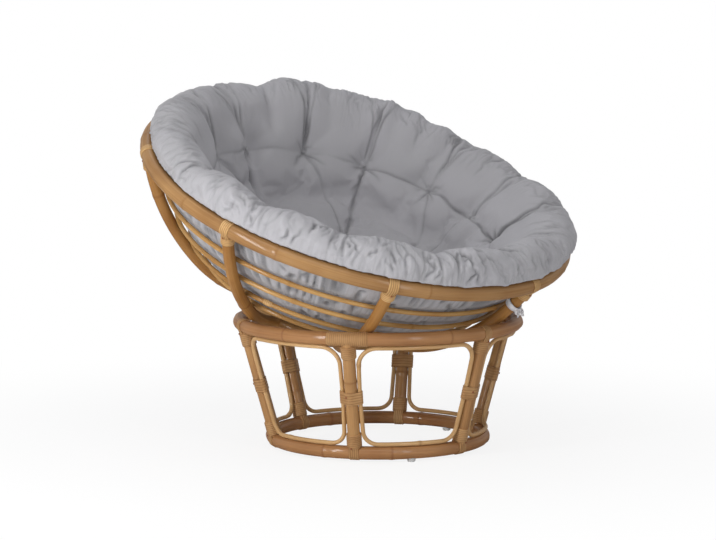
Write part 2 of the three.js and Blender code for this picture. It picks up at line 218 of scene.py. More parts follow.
bpy.context.scene.view_settings.view_transform = "Standard"
world = bpy.data.worlds.new("studio")
bpy.context.scene.world = world
world.use_nodes = True
room = Nodes(world.node_tree)
ambient = room.tree.nodes["Background"]
room.feed(ambient.inputs["Color"], room_colour)
room.feed(ambient.inputs["Strength"], room_strength)
backdrop = room.node("ShaderNodeBackground", None, {"Color": white})
kinds = ("Is Camera Ray", "Is Transmission Ray", "Is Glossy Ray")
direct, through, mirrored = (room.node("ShaderNodeLightPath", None, None, kind) for kind in kinds)
choices = {0: direct.most(through).most(mirrored), 1: Link(room, ambient.outputs[0]), 2: backdrop}
choice = room.node("ShaderNodeMixShader", None, choices)
room.feed(room.tree.nodes["World Output"].inputs["Surface"], choice)

for name, lamp in lamps.items():
    light = bpy.data.lights.new(name, "AREA")
    light.shape = "ELLIPSE"
    light.size, light.size_y = lamp["sides"]
    light.energy = lamp["power"]
    light.color = lamp_colours.get(name, white)
    elevation = math.radians(lamp["elevation"])
    direction = spoke(math.radians(lamp["azimuth"])) * math.cos(elevation) + up * math.sin(elevation)
    holder = bpy.data.objects.new(name, light)
    holder.location = aim + direction * lamp["away"]
    holder.rotation_mode = "QUATERNION"
    holder.rotation_quaternion = direction.to_track_quat("Z", "Y")
    bpy.context.scene.collection.objects.link(holder)

floor_mesh = bpy.data.meshes.new("floor")
sheet = bmesh.new()
bmesh.ops.create_circle(sheet, cap_ends=True, radius=floor_reach, segments=64)
sheet.to_mesh(floor_mesh)
floor = bpy.data.objects.new("floor", floor_mesh)
bpy.context.scene.collection.objects.link(floor)
pale = Finish("pale_floor")
place = pale.node("ShaderNodeTexCoord", None, None, "Object")
reach = pale.node("ShaderNodeVectorMath", {"operation": "LENGTH"}, {0: place}, "Value")
ground_rays = pale.node("ShaderNodeLightPath", None, None, "Is Camera Ray")
ends = {"Value": reach, "From Min": floor_fade[0], "From Max": floor_fade[1], "To Min": least_white}
fade = pale.node("ShaderNodeMapRange", {"interpolation_type": "SMOOTHSTEP"}, ends)
glow = pale.node("ShaderNodeEmission", None, {"Color": white, "Strength": 1.0})
pale.paint(Base_Color=floor_colour, Roughness=0.9)
shaded = Link(pale, pale.surface.outputs[0])
ground = pale.node("ShaderNodeMixShader", None, {0: fade * ground_rays, 1: shaded, 2: glow})
pale.feed(pale.tree.nodes["Material Output"].inputs["Surface"], ground)
floor_mesh.materials.append(pale.material)

# Rings of the stand. Two thick rattan poles, steamed and bent to circles, one over the other. Each pole is
# lacquered with its bark on, and a leaf scar rings it at every knuckle. The legs hold them apart.
ring_pole = 0.0155
pole_sides = 20
pole_step = 0.004
knuckle_spacing = 0.27
knuckle_swelling = 0.0009
knuckle_reach = 0.006
knuckle_line = 0.0022
uneven_share = 0.02
uneven_scale = 6.0
knuckle_first = (0.2, 1)
knuckle_gaps = (0.7, 1.3)
merge_distance = 1e-5


def rolled_piece(name, columns, rows, corner):
    """A closed mesh from a grid. corner gives the place, the grain and the darkening (the knuckle scar on a
    pole, the painted shade in the grooves of peel) at a share along it and round it.
    """
    grid = bmesh.new()
    bmesh.ops.create_grid(grid, x_segments=columns, y_segments=rows, size=0.5)
    grain = grid.verts.layers.float_vector.new("grain")
    scar_and_groove_shade = grid.verts.layers.float.new("scar_and_groove_shade")
    for vert in grid.verts:
        vert.co, vert[grain], vert[scar_and_groove_shade] = corner(vert.co.x + 0.5, vert.co.y + 0.5)
    bmesh.ops.remove_doubles(grid, verts=grid.verts, dist=merge_distance)
    for face in grid.faces:
        face.smooth = True
    bmesh.ops.holes_fill(grid, edges=[edge for edge in grid.edges if edge.is_boundary])
    bmesh.ops.recalc_face_normals(grid, faces=grid.faces)
    mesh = bpy.data.meshes.new(name)
    grid.to_mesh(mesh)
    grid.free()
    return mesh


def add_piece(mesh, finish, body, slot, *nodes):
    """Shows a mesh as a piece that rides on a body and stands for nodes of the part."""
    mesh.materials.append(finish)
    piece = bpy.data.objects.new(mesh.name, mesh)
    bpy.context.scene.collection.objects.link(piece)
    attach(piece, body)
    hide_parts(*nodes)
    return piece


def tube(name, path, across, sides, shape):
    """A closed pole on a path of points. across gives a direction of its section at a point of the path, and
    shape its radius and its darkening (the knuckle scar on a pole, the painted shade in the grooves of peel)
    at a run along it and a turn round it."""
    last = len(path) - 1
    is_ring = (path[0] - path[last]).length < merge_distance
    runs = [0]
    for before, after in zip(path, path[1:]):
        runs.append(runs[-1] + (after - before).length)
    sections = []
    for index, point in enumerate(path):
        before = path[index - 1] if index else path[last - 1 if is_ring else 0]
        after = path[index + 1] if index < last else path[1 if is_ring else last]
        side = across(point)
        sections.append((side, (after - before).cross(side).normalized()))

    def corner(along, turn):
        index = round(along * last)
        side, out = sections[index]
        radius, scar_and_groove_shade = shape(runs[index], turn)
        right = math.cos(2 * math.pi * turn) * radius
        forward = math.sin(2 * math.pi * turn) * radius
        return path[index] + side * right + out * forward, Vector((runs[index], right, forward)), scar_and_groove_shade

    return rolled_piece(name, last, sides, corner)


def grown(radius, length, seed):
    """The shape of a natural pole: a little uneven, with a swollen knuckle every so often."""
    chance = random.Random(seed)
    knuckles = []
    run = knuckle_spacing * chance.uniform(*knuckle_first)
    while run < length:
        knuckles.append(run)
        run += knuckle_spacing * chance.uniform(*knuckle_gaps)

    def shape(run, turn):
        nearest = min((abs(run - knuckle) for knuckle in knuckles), default=length)
        swelling = knuckle_swelling * math.exp(-((nearest / knuckle_reach) ** 2))
        thinner = uneven_share * (0.5 - 0.5 * noise.noise(Vector((run * uneven_scale, seed, 0))))
        return radius * (1 - thinner) + swelling, math.exp(-((nearest / knuckle_line) ** 2))

    return shape


def arc(place, radius, height, azimuth, sweep, step):
    """Points of a level arc about the axis of the stand or the bowl."""
    steps = math.ceil(radius * abs(sweep) / step)
    turns = [azimuth + sweep * index / steps for index in range(steps + 1)]
    return [place @ (spoke(turn) * radius + up * height) for turn in turns]


def rattan(name, light, dark, scar, seed):
    """Lacquered rattan bark: long fine streaks, slow changes of colour, and a scar line at each knuckle."""
    finish = Finish(name)
    grain = finish.attribute("grain", "Vector")
    scar_and_groove_shade = finish.attribute("scar_and_groove_shade", "Fac")
    place = finish.node("ShaderNodeTexCoord", None, None, "Object")
    streaks = finish.cloud(finish.stretch(grain, (5, 300, 300)), 1.0, 3.0)
    patches = finish.cloud(finish.stretch(place, (7 + seed, 7, 7)), 1.0)
    freckles = finish.cloud(finish.stretch(grain, (60, 300, 300)), 1.0)
    shade = (patches - 0.5) * 1.6 + (streaks - 0.5) * 1.1 + 0.5
    colour = finish.mix(shade, light, dark)
    spots = ((freckles - 0.62) * 6).most(0)
    colour = finish.mix(spots * 0.3, colour, dark)
    colour = finish.mix(scar_and_groove_shade * 0.5, colour, scar)
    rough = streaks * 0.2 + 0.32
    relief = finish.relief(streaks, 0.25, 0.0004)
    edge = finish.node("ShaderNodeLayerWeight", None, {"Blend": 0.5}, "Facing")
    finish.paint(Base_Color=colour, Roughness=rough, Normal=relief, Coat_Weight=(1 - edge) * 0.5)
    return finish.paint(Specular_IOR_Level=0.02, Coat_Roughness=0.13)


ring_rattan = rattan("ring_rattan", (0.455, 0.235, 0.098), (0.275, 0.122, 0.046), (0.16, 0.06, 0.025), 0)


def ring_size(node, pole):
    """The radius and height of the middle line of a level ring in the part, by its box."""
    low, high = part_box(node)
    return (high.x - low.x) / 2 - pole, (high.z + low.z) / 2


leg_azimuths = [azimuth_of(f"leg_{index}", in_stand) for index in range(1, 7)]
top_radius, top_height = ring_size("base_top_ring", ring_pole)
bottom_radius, bottom_height = ring_size("base_bottom_ring", ring_pole)
for seed, (node, radius, height) in enumerate((
    ("base_top_ring", top_radius, top_height),
    ("base_bottom_ring", bottom_radius, bottom_height),
)):
    path = arc(in_stand, radius, height, leg_azimuths[0], 2 * math.pi, pole_step)
    shape = grown(ring_pole, 2 * math.pi * radius, seed)
    mesh = tube(f"{node}_pole", path, lambda point: up, pole_sides, shape)
    add_piece(mesh, ring_rattan, "stand", "stand_pole", node)

# Legs. Six straight lengths of rattan pole, a little thinner than the rings, hollowed at both ends to sit
# against them and nailed through the rings.
leg_pole = 0.0145
leg_seed = 10
leg_rattan = rattan("leg_rattan", (0.49, 0.275, 0.112), (0.31, 0.148, 0.055), (0.18, 0.07, 0.025), 6)
leg_slant = Vector((top_radius - bottom_radius, top_height - bottom_height))
for index, azimuth in enumerate(leg_azimuths):
    foot = spoke(azimuth) * bottom_radius + up * bottom_height
    head = spoke(azimuth) * top_radius + up * top_height
    steps = math.ceil(leg_slant.length / pole_step)
    path = [in_stand @ foot.lerp(head, step / steps) for step in range(steps + 1)]
    shape = grown(leg_pole, leg_slant.length, leg_seed + index)
    mesh = tube(f"leg_pole_{index + 1}", path, lambda point: tangent(azimuth), pole_sides, shape)
    add_piece(mesh, leg_rattan, "stand", "stand_pole", f"leg_{index + 1}")

# Infill loops. In each bay a thin peeled rod is bent to a loop with round corners. Its sides lie against the
# legs, where they are bound at the waist, and its ends meet on the bottom ring.
rod_radius = 0.005
rod_sides = 12
rod_step = 0.006
rod_gap = 0.0008
loop_seed = 20
loop_corner = 0.038
loop_waist = 0.16
loop_splay = 0.003
waist_share = 0.493
corner_steps = 14
half_bay = math.pi / len(leg_azimuths)
rod_offset = leg_pole + rod_radius
loop_low = ring_pole + rod_gap + rod_radius
loop_high = leg_slant.length - loop_low
waist = waist_share * leg_slant.length
lean = math.atan2(leg_slant.x, leg_slant.y)


def cone_radius(slant):
    return bottom_radius + slant * math.sin(lean)


def half_width(slant, offset):
    """Half the loop's width at a height up the slant of the legs."""
    return cone_radius(slant) * half_bay - offset


def rounded(corners):
    """Points of a closed outline, each corner rounded by its own radius."""
    points = []
    for index, (corner, radius) in enumerate(corners):
        inward = (corners[index - 1][0] - corner).normalized()
        outward = (corners[(index + 1) % len(corners)][0] - corner).normalized()
        half = inward.angle(outward) / 2
        middle = corner + (inward + outward).normalized() * (radius / math.sin(half))
        start = corner + inward * (radius / math.tan(half)) - middle
        end = corner + outward * (radius / math.tan(half)) - middle
        for step in range(corner_steps + 1):
            points.append(middle + start.slerp(end, step / corner_steps) * start.length)
    return points


def stepped(points, step):
    """Points of a closed line at even steps of about the length step, with the first repeated at the end."""
    line = points + points[:1]
    gaps = [(after - before).length for before, after in zip(line, line[1:])]
    count = math.ceil(sum(gaps) / step)
    made, index, passed = [], 0, 0
    for number in range(count):
        run = number * sum(gaps) / count
        while passed + gaps[index] < run:
            passed += gaps[index]
            index += 1
        made.append(line[index].lerp(line[index + 1], (run - passed) / gaps[index]))
    return made + made[:1]


right_side = [
    (Vector((half_width(loop_low, rod_offset + loop_splay), loop_low)), loop_corner),
    (Vector((half_width(waist, rod_offset), waist)), loop_waist),
    (Vector((half_width(loop_high, rod_offset + loop_splay), loop_high)), loop_corner),
]
left_side = [(Vector((-corner.x, corner.y)), radius) for corner, radius in reversed(right_side)]
loop_outline = stepped(rounded(right_side + left_side), rod_step)
loop_length = sum((after - before).length for before, after in zip(loop_outline, loop_outline[1:]))


def on_cone(point, azimuth):
    """The place of a point of the flat outline when it is bent round the stand."""
    radius = cone_radius(point.y)
    return spoke(azimuth + point.x / radius) * radius + up * (bottom_height + point.y * math.cos(lean))


def off_cone(point):
    """The direction straight out of the cone of the legs at a point of the stand."""
    outward = in_stand.inverted() @ point
    level = Vector((outward.x, outward.y, 0)).normalized()
    return (level * math.cos(lean) - up * math.sin(lean)).normalized()


rod_rattan = rattan("rod_rattan", (0.66, 0.42, 0.2), (0.47, 0.27, 0.11), (0.28, 0.14, 0.05), 1)
for index, azimuth in enumerate(leg_azimuths):
    path = [in_stand @ on_cone(point, azimuth + half_bay) for point in loop_outline]
    shape = grown(rod_radius, loop_length, loop_seed + index)
    mesh = tube(f"loop_rod_{index + 1}", path, off_cone, rod_sides, shape)
    add_piece(mesh, rod_rattan, "stand", "rattan_rod", f"infill_loop_{index + 1}")

# Wrappings of the stand. Flat strips of rattan peel lie over each ring, run down both faces of the leg, and
# are bound there by a collar of turns. A longer coil on the top ring hides where the ends of its pole are
# joined. They are pared down a little under it.
peel = 0.0015
strip = 0.0045
strip_steps = 5
wrap_sides = 28
groove_sharpness = 4
groove_share = 0.45
painted_groove_shade = (0.17, 0.075, 0.03)
strap_width = 0.022
foot_strap_width = 0.023
strap_tail = 0.026
top_collar = 0.031
foot_collar = 0.033
splice_width = 0.094
splice_sunk = 0.0004
strap_steps = 20


def dome(place):
    """How high a strip of peel stands between its grooves, 0 to 1, by the place across it."""
    return 1 - abs(2 * (place % 1) - 1) ** groove_sharpness


def lifted(height):
    """How far the face of a strip stands off what it is wound on. The grooves aren't as deep as the peel."""
    return peel * (groove_share + (1 - groove_share) * height)


def coiled(base, length, width):
    """The shape of a strip of peel coiled tightly round a pole."""

    def shape(run, turn):
        height = dome(run / width - turn)
        end = smooth(min(run, length - run) / (width / 2))
        # The second value is the painted shade in the grooves between the turns.
        return base + end * lifted(height), 1 - height

    return shape


def coil(name, path, across, base, width=strip):
    length = sum((after - before).length for before, after in zip(path, path[1:]))
    return tube(name, path, across, wrap_sides, coiled(base, length, width))


def joint_place(place, azimuth, middle, toward):
    """The frame of a joint: Z runs from the ring's middle line down the pole, and X along the ring."""
    origin = spoke(azimuth) * middle.x + up * middle.y
    down = (spoke(azimuth) * toward.x + up * toward.y).normalized()
    side = tangent(azimuth)
    axes = Matrix((side, down.cross(side), down)).transposed().to_4x4()
    return place @ Matrix.Translation(origin) @ axes


def strap(name, joint, ring, pole, width, tail):
    """Strips of peel side by side, laid over a ring and down both faces of the pole that meets it."""
    strips = round(width / strip)
    over = math.pi * ring

    def corner(along, turn):
        run = along * (over + 2 * tail) - tail
        is_outer = turn < 0.5
        across = 2 * (turn if is_outer else 1 - turn) - 0.5
        height = dome((across + 0.5) * strips)
        lift = lifted(height) if is_outer and abs(across) < 0.5 else 0
        down = max(-run, run - over, 0)
        sign = 1 if run < over / 2 else -1
        angle = min(max(run / ring, 0), math.pi)
        far = ring + lift
        flat = Vector((across * width, math.cos(angle) * far, down - math.sin(angle) * far))
        bend = across * width / pole
        bent = Vector((math.sin(bend) * (pole + lift), sign * math.cos(bend) * (pole + lift), down))
        place = flat.lerp(bent, smooth(down / ring))
        # Besides the place and the grain, it gives the painted shade in the grooves between the strips.
        return joint @ place, Vector((across * width, run, 0)), 1 - height if is_outer else 0

    return rolled_piece(name, strap_steps, 2 * strips * (strip_steps - 1), corner)


def collar(name, joint, start, length, base):
    """A coil round the pole of a joint."""
    steps = math.ceil(length / strip * strip_steps)
    path = [joint @ Vector((0, 0, start + length * step / steps)) for step in range(steps + 1)]
    side = joint.to_3x3() @ Vector((1, 0, 0))
    return coil(name, path, lambda point: side, base)


def joined(name, *meshes):
    """One mesh from several that are fixed together."""
    whole = bmesh.new()
    for mesh in meshes:
        whole.from_mesh(mesh)
    made = bpy.data.meshes.new(name)
    whole.to_mesh(made)
    whole.free()
    return made


def peeled(name, light, dark):
    """Bare rattan peel: streaks along each strip, and painted shade in the grooves between the strips."""
    finish = Finish(name)
    grain = finish.attribute("grain", "Vector")
    scar_and_groove_shade = finish.attribute("scar_and_groove_shade", "Fac")
    place = finish.node("ShaderNodeTexCoord", None, None, "Object")
    streaks = finish.cloud(finish.stretch(grain, (900, 30, 30)), 1.0)
    patches = finish.cloud(finish.stretch(place, (25, 25, 25)), 1.0)
    colour = finish.mix((patches - 0.5) * 1.6 + (streaks - 0.5) * 0.5 + 0.4, light, dark)
    # Painted shade in the grooves between the strips.
    colour = finish.mix(scar_and_groove_shade * 0.75, colour, painted_groove_shade)
    relief = finish.relief(streaks, 0.3, 0.0003)
    finish.paint(Base_Color=colour, Roughness=streaks * 0.2 + 0.42, Normal=relief)
    return finish.paint(Specular_IOR_Level=0.1, Coat_Weight=0.05, Coat_Roughness=0.2)


stand_peel = peeled("stand_peel", (0.52, 0.31, 0.14), (0.33, 0.165, 0.065))
leg_down = Vector((bottom_radius - top_radius, bottom_height - top_height))
top_joints = []
foot_joints = []
for index, azimuth in enumerate(leg_azimuths):
    top = joint_place(in_stand, azimuth, Vector((top_radius, top_height)), leg_down)
    foot = joint_place(in_stand, azimuth, Vector((bottom_radius, bottom_height)), -leg_down)
    top_joints.append(top)
    foot_joints.append(foot)
    if index:
        cover = strap("strap", top, ring_pole, leg_pole, strap_width, strap_tail)
    else:
        sweep = splice_width / top_radius
        path = arc(in_stand, top_radius, top_height, azimuth - sweep / 2, sweep, strip / strip_steps)
        cover = coil("splice", path, lambda point: up, ring_pole - splice_sunk)
    ties = collar("collar", top, ring_pole, top_collar, leg_pole + peel)
    mesh = joined(f"top_wrap_{index + 1}", cover, ties)
    add_piece(mesh, stand_peel, "stand", "rattan_peel", f"top_binding_{index + 1}")
    cover = strap("strap", foot, ring_pole, leg_pole, foot_strap_width, strap_tail)
    ties = collar("collar", foot, ring_pole, foot_collar, leg_pole + peel)
    mesh = joined(f"foot_wrap_{index + 1}", cover, ties)
    add_piece(mesh, stand_peel, "stand", "rattan_peel", f"foot_binding_{index + 1}")

# Waist bindings. Five turns of peel hold the rods of two loops to the leg between them, drawn flat across
# from rod to leg.
waist_band = 0.032
band_strip = 0.0064
band_groove_share = 0.5
waist_radius = cone_radius(waist)
rod_turn = rod_offset / waist_radius
rod_side = waist_radius * math.sin(rod_turn)
rod_setback = waist_radius * (1 - math.cos(rod_turn)) * math.cos(lean)
bound = [(Vector((0, 0)), leg_pole)]
bound += [(Vector((side * rod_side, rod_setback)), rod_radius + rod_gap) for side in (-1, 1)]
band_sides = 72
band_rows = 50


def drawn_round(turn, lift):
    """The place in the leg's section where a strip pulled tight round leg and rods faces a direction."""
    facing = Vector((math.cos(2 * math.pi * turn), math.sin(2 * math.pi * turn)))
    middle, radius = max(bound, key=lambda pole: pole[0].dot(facing) + pole[1])
    return middle + facing * (radius + lift)


def band(name, joint, middle):
    """A closed sleeve of turns, out over its outside from bottom to top and back down its inside."""

    def corner(along, turn):
        is_outer = along < 0.5
        rise = 2 * along if is_outer else 2 - 2 * along
        height = dome(rise * waist_band / band_strip - turn)
        is_face = is_outer and 0 < rise < 1
        lift = peel * (band_groove_share + (1 - band_groove_share) * height) if is_face else 0
        point = drawn_round(turn, lift)
        place = Vector((point.x, point.y, middle + (rise - 0.5) * waist_band))
        # Besides the place and the grain, it gives the painted shade in the grooves between the turns.
        return joint @ place, Vector((rise * waist_band, point.x, point.y)), 1 - height if is_outer else 0

    return rolled_piece(name, band_rows, band_sides, corner)


for index, foot in enumerate(foot_joints):
    mesh = band(f"waist_wrap_{index + 1}", foot, waist)
    add_piece(mesh, stand_peel, "stand", "rattan_peel", f"middle_binding_{index + 1}")

# Glides. Small domes of cloudy clear plastic, turned here from their outline, keep the bottom ring off the
# floor. One is nailed under every other bay.
glide_count = 3
glide_radius = 0.0095
glide_face = 0.0065
glide_rim_height = 0.0035
glide_height = 0.0085
glide_arc_steps = 6
glide_steps = 32

glide_outline = [Vector((0, 0, 0)), Vector((glide_face, 0, 0))]
for step in range(1, glide_arc_steps + 1):
    turn = math.pi / 2 * step / glide_arc_steps
    out = glide_face + (glide_radius - glide_face) * math.sin(turn)
    glide_outline.append(Vector((out, 0, glide_rim_height * (1 - math.cos(turn)))))
glide_outline += [Vector((glide_radius, 0, glide_height)), Vector((0, 0, glide_height))]
clear = Finish("clear_plastic")
place = clear.node("ShaderNodeTexCoord", None, None, "Object")
cloudy = clear.cloud(place, 160.0)
tint = clear.mix(cloudy, (0.9, 0.91, 0.91), (0.72, 0.75, 0.76))
clear.paint(Base_Color=tint, Roughness=cloudy * 0.3 + 0.15, Transmission_Weight=0.35)
for index in range(glide_count):
    azimuth = azimuth_of(f"glide_{index + 1}", in_stand)
    lathe = bmesh.new()
    corners = [lathe.verts.new(point) for point in glide_outline]
    edges = [lathe.edges.new(pair) for pair in zip(corners, corners[1:])]
    full = {"axis": up, "cent": (0, 0, 0), "angle": 2 * math.pi, "steps": glide_steps, "use_merge": True}
    bmesh.ops.spin(lathe, geom=corners + edges, **full)
    bmesh.ops.remove_doubles(lathe, verts=lathe.verts, dist=merge_distance)
    bmesh.ops.recalc_face_normals(lathe, faces=lathe.faces)
    under_bay = in_stand @ Matrix.Translation(spoke(azimuth) * bottom_radius)
    bmesh.ops.transform(lathe, matrix=under_bay, verts=lathe.verts)
    for face in lathe.faces:
        face.smooth = True
    mesh = bpy.data.meshes.new(f"glide_dome_{index + 1}")
    lathe.to_mesh(mesh)
    lathe.free()
    add_piece(mesh, clear.material, "stand", "glide_plastic", f"glide_{index + 1}")

# Rim and foot ring of the bowl. Two rattan poles bent to circles. The rim is the thickest pole of the chair.
# The ribs run down from it and end on the foot ring at the bottom of the bowl.
rim_pole = 0.018
rib_pole = 0.01375
rim_seed = 30


def bowl_ring(node, pole):
    """The radius of a ring of the bowl, and its drop below the middle of the ball, by its box."""
    low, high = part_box(node)
    return (high.x - low.x) / 2 - pole, (ball_middle - (low + high) / 2).length


rim_radius, rim_drop = bowl_ring("bowl_rim", rim_pole)
foot_radius, foot_drop = bowl_ring("bowl_foot_ring", rib_pole)
rib_azimuths = [azimuth_of(f"rib_{index}", in_bowl) for index in range(1, 9)]
bowl_rattan = rattan("bowl_rattan", (0.44, 0.25, 0.1), (0.27, 0.132, 0.046), (0.2, 0.08, 0.02), 2)
for seed, (node, radius, drop, pole) in enumerate((
    ("bowl_rim", rim_radius, rim_drop, rim_pole),
    ("bowl_foot_ring", foot_radius, foot_drop, rib_pole),
)):
    path = arc(in_bowl, radius, -drop, rib_azimuths[0], 2 * math.pi, pole_step)
    shape = grown(pole, 2 * math.pi * radius, rim_seed + seed)
    mesh = tube(f"{node}_pole", path, lambda point: bowl_axis, pole_sides, shape)
    add_piece(mesh, bowl_rattan, "bowl", "bowl_pole", node)

# Ribs. Eight poles bent like the meridians of a globe, more tightly near the bottom. They are hollowed at
# both ends and nailed to the rim and the foot ring.
rib_seed = 46
ball_radius = math.hypot(rim_radius, rim_drop)
rim_angle = math.atan2(rim_radius, rim_drop)
flatten_from = math.radians(37)
flat_bend = 0.3


def bowl_point(angle):
    """Radius and height of the middle line of a rib at an angle up from the bottom of the bowl."""
    centre = 0 if angle > flatten_from else ball_radius - flat_bend
    reach = ball_radius if angle > flatten_from else flat_bend
    radius = centre * math.sin(flatten_from) + reach * math.sin(angle)
    return Vector((radius, -centre * math.cos(flatten_from) - reach * math.cos(angle)))


rib_rattan = rattan("rib_rattan", (0.44, 0.225, 0.07), (0.27, 0.115, 0.028), (0.15, 0.05, 0.015), 7)
rib_end = math.asin((foot_radius - (ball_radius - flat_bend) * math.sin(flatten_from)) / flat_bend)
rib_length = ball_radius * (rim_angle - flatten_from) + flat_bend * (flatten_from - rib_end)
for index, azimuth in enumerate(rib_azimuths):
    steps = math.ceil(rib_length / pole_step)
    path = []
    for step in range(steps + 1):
        point = bowl_point(rim_angle + (rib_end - rim_angle) * step / steps)
        path.append(in_bowl @ (spoke(azimuth) * point.x + up * point.y))
    side = in_bowl.to_3x3() @ tangent(azimuth)
    shape = grown(rib_pole, rib_length, rib_seed + index)
    mesh = tube(f"rib_pole_{index + 1}", path, lambda point: side, pole_sides, shape)
    add_piece(mesh, rib_rattan, "bowl", "bowl_pole", f"rib_{index + 1}")

# Hoops. Four thin rods bent to rings and nailed inside the ribs. The ends of each overlap and are bound with
# a short coil of peel.
hoop_rod = 0.0055
hoop_splice = 0.022
hoop_splice_azimuths = [75, 140, -68, 20]
hoop_seed = 50
golden_rod = rattan("golden_rod", (0.57, 0.34, 0.125), (0.36, 0.175, 0.05), (0.24, 0.11, 0.03), 3)
bowl_peel = peeled("bowl_peel", (0.66, 0.42, 0.19), (0.44, 0.24, 0.085))
hoops = []
for index, splice_azimuth in enumerate(hoop_splice_azimuths):
    node = f"hoop_{index + 1}"
    radius, drop = bowl_ring(node, hoop_rod)
    hoops.append((radius, drop))
    start = math.radians(splice_azimuth)
    path = arc(in_bowl, radius, -drop, start, 2 * math.pi, rod_step)
    shape = grown(hoop_rod, 2 * math.pi * radius, hoop_seed + index)
    mesh = tube(f"{node}_rod", path, lambda point: bowl_axis, rod_sides, shape)
    add_piece(mesh, golden_rod, "bowl", "rattan_rod", node)
    sweep = hoop_splice / radius
    path = arc(in_bowl, radius, -drop, start - sweep / 2, sweep, strip / strip_steps)
    mesh = coil(f"{node}_splice", path, lambda point: bowl_axis, hoop_rod)
    add_piece(mesh, bowl_peel, "bowl", "rattan_peel")

# Rim wrappings. Strips of peel lie over the rim, run down both faces of each rib, and are bound there by a
# short collar of turns.
rim_strap_width = 0.024
rib_collar = 0.02
rib_down = Vector((-math.cos(rim_angle), -math.sin(rim_angle)))
rim_joints = []
for index, azimuth in enumerate(rib_azimuths):
    joint = joint_place(in_bowl, azimuth, Vector((rim_radius, -rim_drop)), rib_down)
    rim_joints.append(joint)
    cover = strap("strap", joint, rim_pole, rib_pole, rim_strap_width, rib_collar)
    ties = collar("collar", joint, rim_pole, rib_collar, rib_pole + peel)
    mesh = joined(f"rim_wrap_{index + 1}", cover, ties)
    add_piece(mesh, bowl_peel, "bowl", "rattan_peel", f"rim_binding_{index + 1}")

# Cushion. A round pad of pale cotton, filled with fibre, lies in the bowl and sags over the rim in a roll.
# Threads drawn through it make 14 tufts round its sides and 7 round its seat. The cloth folds outward from
# each tuft, and its edge is gathered to fit the circle.
roll_middle = 0.46
roll_lift = 0.022
roll_size = 0.2
crown_edge = math.radians(61)
under_side = ball_radius - 0.05
cushion_depth = 0.122

# Its tufts. Angles are measured up from the bottom of the bowl, and shifts are in degrees.
first_tuft = math.radians(81)
tuft_count = 14
tuft_angle = math.radians(56)
tuft_shifts = ((-2.7, -1.5), (-3.6, -1.5), (0, -1.7), (0.6, -1), (5.6, 0.2), (-1, 1.5))
tuft_stray = (2, 1)
seat_tuft_count = 7
seat_tuft_angle = math.radians(24)
tuft_lift = 0.026
tuft_reach = 0.08
tuft_hold = 0.012
pit_depth = 0.012
pit_reach = 0.007
tuft_rays = (5, 8)
tuft_ray_lengths = (0.03, 0.09)
tuft_ray_depth = 0.006
tuft_ray_width = 0.004

# Its swelling under pressure.
start_voxel = 0.007
start_inset = 0.002
low_side = math.radians(92)
low_side_inset = 0.012
puff_height = 0.004
pressure = 4.0
frames = 20
spare_cloth = -0.1
most_swelling = 0.025
edge_swelling = 0.011
fold_hold = 0.2
least_held_press = 0.002
most_held_press = 0.01
resting_turns = (-2.2, 0.2)
resting_from = 0.43

# Its folds: soft ones before the swelling, and sharp ones after it. Depths are those of the pleats that run
# outward, and of the folds round the sides, down to the seat, and in the seat.
first_depths = (0.003, 0.004, 0.004, 0.0025)
first_width = 0.011
fine_depths = (0.0055, 0.005, 0.005, 0.004)
fine_width = 0.0034
fold_step = 0.002
fold_wander = 0.005
fold_waves = 3
fold_sway = 2.5
press_change = 0.8
press_scale = 22
down_seed, pleat_seed, seat_seed, spoke_seed, ray_seed, slit_seed = 20, 40, 60, 70, 90, 200
side_fold_shares = (0.9, 1, 0.35, 0.35)
side_fold_range = (0.35, 1.15)
minor_fold_share = 0.6
pleats_aside = (-0.022, -0.005, 0.017)
pleat_start = 0.4
pleat_spread = 1.6
pleat_depths = (0.5, 1.2)
pleat_strays = (0.6, 1.4)
pleat_ends = (math.radians(50), math.radians(-20))
roll_from = math.radians(186)
crown_steps = 24
roll_steps = 90

# Its short slits, on the roll and on the lower cloth. Turns, lengths on the roll and angles are in radians.
slit_count = 190
slit_turns = (-0.05, 2.2, 0.15)
slit_lengths = (0.35, 1.0)
slit_run = 0.06
slit_slant = 0.035
slit_depths = (0.003, 0.008)
slit_widths = (0.0026, 0.0036)
slit_front = math.radians(-20)
slit_front_share = 0.7
back_slit_length = 1.9
back_slit_depth = 0.45
under_slit_count = 150
under_slit_angles = (0.62, 1.12)
under_slit_lengths = (0.02, 0.05)
under_slit_depths = (0.006, 0.011)
under_slit_widths = (0.004, 0.007)

# The gathers of its edge, and its uneven filling. Each bump has an azimuth in degrees, a height and a reach.
least_gather = 0.15
outer_from = math.radians(165)
outer_over = math.radians(70)
gather_wave = 0.025
gather_depth = 0.0048
crimp_wave = 0.0115
crimp_depth = 0.0024
valley_roundness = 0.55
puff_depth = 0.005
# The fold depth at which the painted shade deep in a fold is full.
full_shade_press = 0.005
top_bumps = (
    (155, 0.015, 7), (130, 0.024, 6), (116, -0.012, 4), (174, -0.012, 6), (-166, -0.012, 6), (91, -0.011, 10),
    (173, -0.01, 2.5), (162, 0.01, 5.5), (150, -0.008, 3), (126.5, -0.013, 3), (113, 0.01, 3),
)
side_bumps = ((-118, -0.008, 18), (50, 0.009, 20))
belly_middle = Vector((0.517, -0.17))
belly_reach = 0.024
belly_drop = Vector((0.001, -0.004))
belly_gap = 0.0014
hoop_bulge = 0.006
hoop_free = 0.05

hoop_angles = [math.atan2(radius, drop) for radius, drop in hoops]
poles_under = [(Vector((rim_radius, -rim_drop)), rim_pole)]
poles_under += [(Vector((radius, -drop)), hoop_rod) for radius, drop in hoops]
to_bowl = in_bowl.inverted()
bowl_turn = in_bowl.to_3x3()
roll_height = roll_lift - rim_drop

